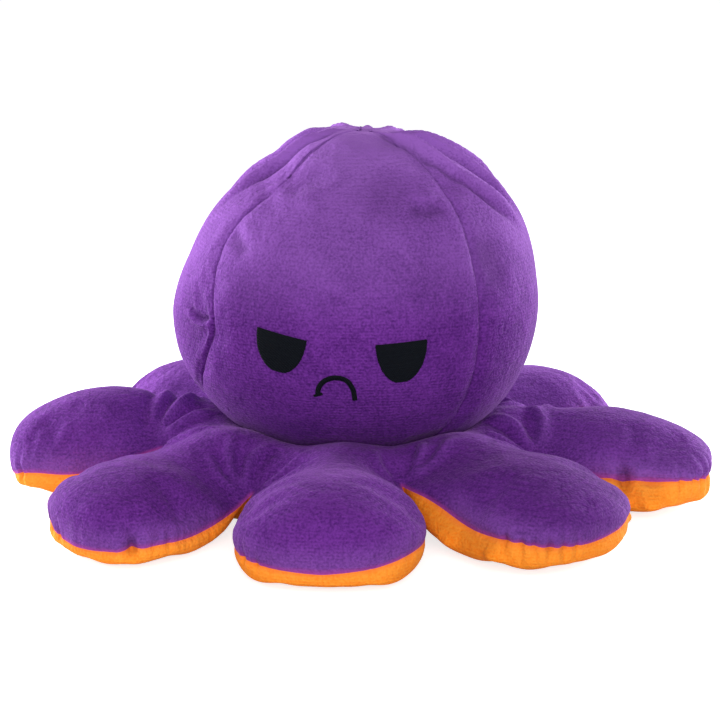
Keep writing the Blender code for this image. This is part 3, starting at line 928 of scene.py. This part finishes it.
# %% Turn the petals to their places and cut them
HINGE_REACH = 0.092
TUG_REACH = 0.030
crotch_tugs = [
    ((0.0408, -0.0984), (-0.0090, 0, 0)), ((-0.0408, -0.0984), (-0.0045, 0, -0.006)),
    ((-0.0984, -0.0408), (-0.0040, 0, 0.002)),
]


def outward(name, reach=1.0, height=0.0):
    turn = LEG_NAMES.index(name) * 2 * HALF_SECTOR
    return Vector((reach * math.sin(turn), -reach * math.cos(turn), height))


def place_petal(name, petal):
    points = points_of(petal)
    reach = np.clip((points[:, 0] - HINGE_REACH) / (TIP - HINGE_REACH), 0, None)
    sideways = points[:, 1] + petal_habits[name]["bend"] * reach**2
    forward = points[:, 0] - petal_habits[name]["short"] * reach**2
    ahead = outward(name)
    x = forward * ahead.x - sideways * ahead.y
    y = forward * ahead.y + sideways * ahead.x
    placed = np.column_stack([x, y, points[:, 2]])
    beyond_rim = smoothstep(0.060, 0.075, np.hypot(x, y))
    for crotch, tug in crotch_tugs:
        share = beyond_rim * np.exp(-((np.hypot(x - crotch[0], y - crotch[1]) / TUG_REACH) ** 2))
        placed += share[:, None] * tug
    placed[:, 2] = np.maximum(placed[:, 2], REST)
    move_points(petal, placed)


purple_petals, orange_petals = {}, {}
for name, petal in petals.items():
    place_petal(name, petal)
    finish = np.zeros(len(petal.data.polygons), np.int32)
    petal.data.polygons.foreach_get("material_index", finish)
    purple_petals[name] = cut_out(petal, "petal_" + name + "_purple", finish == 0, purple_plush)
    orange_petals[name] = cut_out(petal, "petal_" + name + "_orange", finish == 1, orange_plush)
print("cut", len(purple_petals) + len(orange_petals), "petals")

# %% [markdown]
# ## The embroidered face
# Two half-moon eyes and a small bent mouth are stitched in black. A machine fills an eye with rows of thread
# that dip where the needle goes through, and lays the mouth as satin stitch, to and fro across its line. The
# threads are real curves here, so the stitches catch the light as thread does. Each point of a thread is
# thrown onto the cloth along a ray from outside and lifted by half a thread.

# %% Threads on a cloth
THREAD_RADIUS, ROW_PITCH, STITCH = 0.00026, 0.00040, 0.0042
HEAD_ROUND, LINING_ROUND, RAY_START = 0.100, 0.040, 0.3


class Cloth:
    """A surface that threads are laid on, found with rays towards or from the toy's axis."""

    def __init__(self, piece, inside):
        self.tree = BVHTree.FromObject(piece, bpy.context.evaluated_depsgraph_get())
        self.inside = inside

    def lay(self, sideways, height, lift):
        """sideways is measured round the cloth from the middle of the face, in metres."""
        angle = sideways / (LINING_ROUND if self.inside else HEAD_ROUND)
        ray = Vector((math.sin(angle), -math.cos(angle), 0))
        if self.inside:
            found = self.tree.ray_cast(Vector((0, 0, height)), ray)[0]
            return found - ray * lift
        found = self.tree.ray_cast(ray * RAY_START + Vector((0, 0, height)), -ray)[0]
        return found + ray * lift


def thread(name, cloth, path):
    """path has a sideways place, a height and a lift for each point."""
    curve = bpy.data.curves.new(name, "CURVE")
    set_all(curve, dimensions="3D", bevel_depth=THREAD_RADIUS, bevel_resolution=1, use_fill_caps=True)
    line = curve.splines.new("POLY")
    line.points.add(len(path) - 1)
    for point, place in zip(line.points, path):
        point.co = (*cloth.lay(*place), 1)
    piece = bpy.data.objects.new(name, curve)
    bpy.context.collection.objects.link(piece)
    pick(piece)
    bpy.ops.object.convert(target="MESH")
    piece = bpy.context.object
    piece.data.materials.clear()
    piece.data.materials.append(black_thread)
    bpy.ops.object.shade_smooth()
    return piece


print("threads are", THREAD_RADIUS * 2000, "mm thick")

# %% [markdown]
# A thread needs a path. For an eye it runs row by row in a half moon whose straight edge is on top. For a
# mouth or an eyelid it runs to and fro across a line, and it stands highest over the middle of the line.

# %% The paths of the threads
MOON, UNEVEN_END = 2.1, (-0.0002, 0.0001)
POINT_SPACING, STITCH_SHIFT = 0.0012, 0.37
SATIN_PITCH, SATIN_POINTS = ROW_PITCH * 0.9, 6


def eye_path(centre, half, depth, tilt):
    """Rows of stitches in a half moon. The tilt is in degrees, everything else in metres."""
    tilt = math.radians(tilt)
    chord = np.array([math.cos(tilt), math.sin(tilt)])
    below = np.array([math.sin(tilt), -math.cos(tilt)])
    path = []
    for number in range(int(depth / ROW_PITCH)):
        down = (number + 0.5) * ROW_PITCH
        reach = half * pillow(down / depth, MOON, MOON) + rng.uniform(*UNEVEN_END)
        steps = max(int(2 * reach / POINT_SPACING), 2)
        for share in np.linspace(-1, 1, steps) * (1 if number % 2 else -1):
            place = np.array(centre) + chord * reach * share + below * down
            phase = (reach * share + number * STITCH * STITCH_SHIFT) / STITCH
            path.append((*place, 0.00020 + 0.00022 * abs(math.sin(math.pi * phase))))
    return path


def satin_path(line, half_width):
    """To and fro across a line."""
    line = np.asarray(line, float)
    count = int(lengths(np.diff(line, axis=0)).sum() / SATIN_PITCH)
    middle = along(line, np.linspace(0, 1, count))
    tangent = np.gradient(middle, axis=0)
    tangent /= lengths(tangent)[:, None]
    across = np.column_stack([-tangent[:, 1], tangent[:, 0]])
    path = []
    for number in range(count):
        for share in np.linspace(-1, 1, SATIN_POINTS) * (1 if number % 2 else -1):
            place = middle[number] + across[number] * half_width * share
            path.append((*place, 0.00012 + 0.00042 * (1 - share * share)))
    return path


print("rows of stitches lie", ROW_PITCH * 1000, "mm apart")

# %% [markdown]
# The toy has two faces. The one outside frowns under half-closed lids. The one on the lining shows when the
# toy is turned inside out, and it smiles with closed eyes.

# %% Stitch both faces
INNER_EYE = 0.0145
head_cloth, lining_cloth = Cloth(head_gores["front"], False), Cloth(lining_gores["front"], True)
frown = [
    (-0.0131, 0.0721), (-0.0121, 0.0762), (-0.0092, 0.0800), (-0.0024, 0.0825), (0.0033, 0.0810),
    (0.0064, 0.0765), (0.0078, 0.0698),
]
frown_end = [(-0.0152, 0.0718), (-0.0128, 0.0722), (-0.0104, 0.0731)]
smile = [(-0.0065, 0.0700), (-0.0045, 0.0672), (0.0, 0.0660), (0.0045, 0.0672), (0.0065, 0.0700)]
lid = [(-0.0060, 0.0835), (-0.0038, 0.0872), (0.0, 0.0888), (0.0038, 0.0872), (0.0060, 0.0835)]
stitches = {
    "eye_left": (head_cloth, eye_path((-0.0298, 0.1047), 0.0136, 0.0211, -11)),
    "eye_right": (head_cloth, eye_path((0.0313, 0.1012), 0.0132, 0.0219, 4)),
    "mouth": (head_cloth, satin_path(frown, 0.0012)),
    "mouth_end": (head_cloth, satin_path(frown_end, 0.0005)),
    "inner_mouth": (lining_cloth, satin_path(smile, 0.0010)),
    "inner_eye_left": (lining_cloth, satin_path([(x - INNER_EYE, z) for x, z in lid], 0.0011)),
    "inner_eye_right": (lining_cloth, satin_path([(x + INNER_EYE, z) for x, z in lid], 0.0011)),
}
threads = {name: thread(name + "_stitches", *stitching) for name, stitching in stitches.items()}
print("stitched", sum(len(piece.data.polygons) for piece in threads.values()), "faces of thread")

# %% [markdown]
# ## Writing shaders as sums
# Plush is a lot of small differences in one colour, so its shaders are mostly arithmetic. A small class wraps
# an output socket: sums and products with it add Math nodes, and its other methods add any node, with its
# settings and the values or links of its inputs.

# %% A socket with arithmetic
class Shade:
    """An output socket of a material's node tree."""

    def __init__(self, tree, socket=None):
        self.tree, self.socket = tree, socket

    def add(self, kind, inputs=(), **settings):
        """Adds a node and returns its outputs by name, each as a Shade."""
        node = self.tree.nodes.new("ShaderNode" + kind)
        set_all(node, **settings)
        for name, value in dict(inputs).items():
            ports = [port for port in node.inputs if port.enabled and port.name == name]
            port = node.inputs[name] if isinstance(name, int) else ports[0]
            if isinstance(value, Shade):
                self.tree.links.new(value.socket, port)
            else:
                port.default_value = value
        return {port.name: Shade(self.tree, port) for port in node.outputs if port.enabled}

    def maths(self, operation, *terms):
        return self.add("Math", dict(enumerate(terms)), operation=operation)["Value"]

    def __add__(self, other):
        return self.maths("ADD", self, other)

    def __sub__(self, other):
        return self.maths("SUBTRACT", self, other)

    def __rsub__(self, other):
        return self.maths("SUBTRACT", other, self)

    def __mul__(self, other):
        return self.maths("MULTIPLY", self, other)

    __radd__, __rmul__ = __add__, __mul__

    def clipped(self, low, high):
        """0 below low, 1 above high and a smooth step between."""
        limits = {"Value": self, "From Min": low, "From Max": high}
        return self.add("MapRange", limits, interpolation_type="SMOOTHSTEP")["Result"]

    def mixed(self, first, second):
        """Mixes two colours, with this socket as the factor."""
        colours = {"Factor": self, "A": first, "B": second}
        return self.add("Mix", colours, data_type="RGBA", blend_type="MIX")["Result"]


def new_shader(finish):
    """Clears a finish and gives back its tree, ready for nodes."""
    finish.use_nodes = True
    finish.node_tree.nodes.clear()
    return Shade(finish.node_tree)


def close_shader(shader, surface, **bump):
    """Joins a Principled BSDF to the finish's output, with a bump under it."""
    surface["Normal"] = shader.add("Bump", {"Strength": 1.0, **bump})["Normal"]
    shader.add("OutputMaterial", {"Surface": shader.add("BsdfPrincipled", surface)["BSDF"]})


print("shader sums ready")

# %% [markdown]
# ## Short-pile plush
# The cloth is a knitted ground with a dense pile about a millimetre and a half long. Close to, it is a fine
# grain with faint knitted rows. Where a hand brushed it, patches a few centimetres wide lie the other way and
# look lighter or darker. Fibres seen edge on catch the light, which the sheen does. Beside a seam each cloth is
# painted with bounce light in the other cloth's colour, which turns the purple to magenta there. The labels
# also mix in a painted light colour and a painted shade colour.

# %% The two plushes
PILE_GRAIN, PILE_TUFT, BRUSHED_PATCH, KNIT_ROW = 0.0012, 0.0032, 0.020, 0.0017
GRAIN_LIGHT, TUFT_LIGHT, BRUSHED_LIGHT, SPREAD_LIGHT, ROW_LIGHT = 1.5, 0.45, 0.16, 0.2, 0.12
WAVES_PER_METRE = 2 * math.pi / 20
BUMP_HEIGHT = 0.0009


def plush(finish, deep, bright, painted_light, painted_bounce_light, sheen_tint, sheen):
    shader = new_shader(finish)
    place = shader.add("TexCoord")["Object"]

    def noise(size, detail=2.0, warp=0.0):
        inputs = {"Vector": place, "Scale": 1 / size, "Detail": detail, "Distortion": warp}
        return shader.add("TexNoise", inputs)["Fac"]

    def label(name):
        return shader.add("Attribute", attribute_name=name)["Fac"]

    grain, tufts = noise(PILE_GRAIN), noise(PILE_TUFT)
    brushed = noise(BRUSHED_PATCH, 3.0, 0.6).clipped(0.34, 0.66)
    spread = noise(BRUSHED_PATCH * 3)
    wave = {"Scale": WAVES_PER_METRE / KNIT_ROW, "Distortion": 1.6, "Detail": 2.0, "Detail Scale": 1.2}
    rows = shader.add("TexWave", {"Vector": place, **wave}, bands_direction="Z")["Fac"]
    light = 0.5 + (grain - 0.5) * GRAIN_LIGHT + (tufts - 0.5) * TUFT_LIGHT
    light = light + (brushed - 0.5) * BRUSHED_LIGHT + (spread - 0.5) * SPREAD_LIGHT + (rows - 0.5) * ROW_LIGHT
    # Painted light and shade: where the labels say so, the colour is mixed towards a paler colour of painted light,
    # a colour of painted bounce light beside the seam, and this painted shade colour, which is the deep colour at 30
    # percent.
    painted_shade_colour = (*(part * 0.3 for part in deep[:3]), 1)
    colour = light.clipped(-0.1, 1.1).mixed(deep, bright)
    colour = (label("painted_light") * (0.65 + (brushed - 0.5) * 0.15 + (grain - 0.5) * 0.8)).mixed(colour, painted_light)
    colour = (label("painted_bounce_light") * 0.7).mixed(colour, painted_bounce_light)
    colour = (label("painted_shade") * 0.5).mixed(colour, painted_shade_colour)
    surface = {
        "Base Color": colour, "Roughness": 0.95 - light * 0.12, "Specular IOR Level": 0.06,
        "Sheen Weight": sheen, "Sheen Roughness": 0.3, "Sheen Tint": sheen_tint,
    }
    height = grain * 0.6 + tufts * 0.8 + rows * 0.12 + brushed * 0.5
    close_shader(shader, surface, Height=height, Distance=BUMP_HEIGHT)


# Besides its deep and bright colours, each plush gets a colour of painted light and a colour of painted bounce
# light.
plush(
    purple_plush, deep=(0.049, 0.0072, 0.107, 1), bright=(0.153, 0.030, 0.277, 1), painted_light=(0.250, 0.094, 0.410, 1),
    painted_bounce_light=(0.400, 0.050, 0.300, 1), sheen_tint=(0.80, 0.40, 1, 1), sheen=0.11,
)
plush(
    orange_plush, deep=(0.930, 0.195, 0.006, 1), bright=(0.980, 0.340, 0.034, 1), painted_light=(0.970, 0.330, 0.045, 1),
    painted_bounce_light=(0.930, 0.180, 0.040, 1), sheen_tint=(1, 0.65, 0.3, 1), sheen=0.08,
)
print("plush finishes", [finish.name for finish in (purple_plush, orange_plush)])

# %% [markdown]
# ## Embroidery thread
# Machine embroidery uses a twisted polyester yarn, black here, with a weak shine along the twist. The twist
# is finer than the picture shows, so a fine wave in the bump is enough.

# %% The thread
TWIST = 0.0006
shader = new_shader(black_thread)
place = shader.add("TexCoord")["Object"]
twist = {"Vector": place, "Scale": WAVES_PER_METRE / TWIST}
ply = shader.add("TexWave", twist, bands_direction="DIAGONAL")["Fac"]
fluff = shader.add("TexNoise", {"Vector": place, "Scale": 1 / TWIST, "Detail": 2.0})["Fac"]
light = (ply * 0.4 + fluff * 0.6).clipped(0.3, 0.8)
surface = {
    "Base Color": light.mixed((0.0004, 0.0007, 0.0014, 1), (0.0045, 0.007, 0.012, 1)),
    "Roughness": 0.50 + fluff * 0.25, "Specular IOR Level": 0.06, "Sheen Weight": 0.01,
}
close_shader(shader, surface, Height=ply + fluff, Distance=0.0001)
print("thread finish has", len(black_thread.node_tree.nodes), "nodes")

# %% [markdown]
# ## Every piece in its place
# The head and the lining stay with the root body, and so do the stitches. The petals keep the places they
# were given, with their transforms baked into their points. The places where each petal would start and end
# its bend are worked out but not used. The plain CAD nodes are hidden behind the cloths that stand for them.

# %% Ride and replace
BEND_START, BEND_END = 0.0995, 0.1380
for side in GORES:
    for piece, node in ((head_gores[side], "head_panel_" + side), (lining_gores[side], "lining_panel_" + side)):
        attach(piece, "root")
        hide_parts(node)
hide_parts("head_stuffing")
for name in LEG_NAMES:
    body = "leg_" + name
    start, end = outward(name, BEND_START, HINGE_LEVEL), outward(name, BEND_END, HINGE_LEVEL)
    for piece, slot, nodes in (
        (purple_petals[name], "purple_plush", (body + "_top", body + "_stuffing", "yoke_top")),
        (orange_petals[name], "orange_plush", (body + "_underside", "yoke_underside", "yoke_stuffing")),
    ):
        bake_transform(piece)
        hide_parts(*nodes)
for name, piece in threads.items():
    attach(piece, "root")
    if name != "mouth_end":
        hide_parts(name)
for cover in [head, lining, *petals.values()]:
    bpy.data.objects.remove(cover)
left_showing = [node.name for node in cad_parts.values() if not node.hide_render]
print("nodes still showing:", left_showing)

# %% [markdown]
# ## Floor, light and camera
# The photograph is a catalogue picture on pure white. A wide pale floor stands for the sweep. What the camera
# sees of it is lifted to white with Light Path, and the toy still lays its soft shadow there. A large soft box
# beside the camera gives the plain light, and a weak one above the face helps the brow. Two more stand low
# behind the toy, left and right, and graze the pile, so the outline glows a little as in the photograph.

# %% Floor and surroundings
FLOOR_SIZE, FLOOR_SHADE, FLOOR_LIFT, SURROUND = 40.0, 0.80, 0.74, 0.34
BELOW_TOY = 0.0004


def grey(shade):
    return (shade, shade, shade, 1)


def looked_at(shader):
    """1 for what the camera looks at, also in a mirror or through glass, and 0 for light on the toy."""
    path = shader.add("LightPath")
    return path["Is Camera Ray"] + path["Is Glossy Ray"] + path["Is Transmission Ray"]


bpy.ops.mesh.primitive_plane_add(size=FLOOR_SIZE, location=(0, 0, -BELOW_TOY))
floor = bpy.context.object
floor.name = "studio_floor"
floor_finish = bpy.data.materials.new("studio_floor")
floor.data.materials.append(floor_finish)
shader = new_shader(floor_finish)
surface = {
    "Base Color": grey(FLOOR_SHADE), "Roughness": 0.9, "Specular IOR Level": 0.0,
    "Emission Color": looked_at(shader).mixed(grey(0), grey(FLOOR_LIFT)), "Emission Strength": 1.0,
}
shader.add("OutputMaterial", {"Surface": shader.add("BsdfPrincipled", surface)["BSDF"]})

studio = bpy.data.worlds.new("studio")
bpy.context.scene.world = studio
sky = new_shader(studio)
sky_shade = looked_at(sky) * (1 - SURROUND) + SURROUND
background = sky.add("Background", {"Color": grey(1), "Strength": sky_shade})["Background"]
sky.add("OutputWorld", {"Surface": background})
print("floor lifted by", FLOOR_LIFT)

# %% [markdown]
# A soft box is a square area light. Each one is given by its place, the place it is turned to, the length of
# its side in metres and its power in watts.

# %% Soft boxes
def soft_box(name, place, aim, size, watts):
    box = bpy.data.lights.new(name, "AREA")
    set_all(box, shape="SQUARE", size=size, energy=watts)
    light = bpy.data.objects.new(name, box)
    bpy.context.collection.objects.link(light)
    light.location = place
    light.rotation_euler = (Vector(aim) - Vector(place)).to_track_quat("-Z", "Y").to_euler()


soft_box("light_front", (0.20, -1.62, 0.62), (0, 0, 0.08), 0.90, 21.5)
soft_box("light_above_face", (-0.05, -0.32, 0.48), (0, -0.05, 0.13), 0.36, 0.10)
soft_box("light_behind_left", (-0.80, 0.32, 0.24), (0, 0, 0.08), 0.50, 18.0)
soft_box("light_behind_right", (0.72, 0.60, 0.26), (0, 0, 0.08), 0.50, 17.0)

# %% [markdown]
# The camera stands a good metre away and looks slightly down, with a long lens, as a catalogue photographer
# would do to keep the proportions. Its place was found by matching the outline of the toy in the photograph.
# The Standard view transform keeps the colours as they were mixed.

# %% The camera of the photograph
AIM = Vector((0.0025, 0.0002, 0.0711))
lens = bpy.data.cameras.new("camera")
set_all(lens, sensor_width=36, lens=107.6)
camera = bpy.data.objects.new("camera", lens)
bpy.context.collection.objects.link(camera)
camera.location = (0.0927, -1.1526, 0.3207)
camera.rotation_euler = (AIM - camera.location).to_track_quat("-Z", "Y").to_euler()
bpy.context.scene.camera = camera
bpy.context.scene.view_settings.view_transform = "Standard"
print("camera", round((AIM - camera.location).length, 3), "m from its aim")
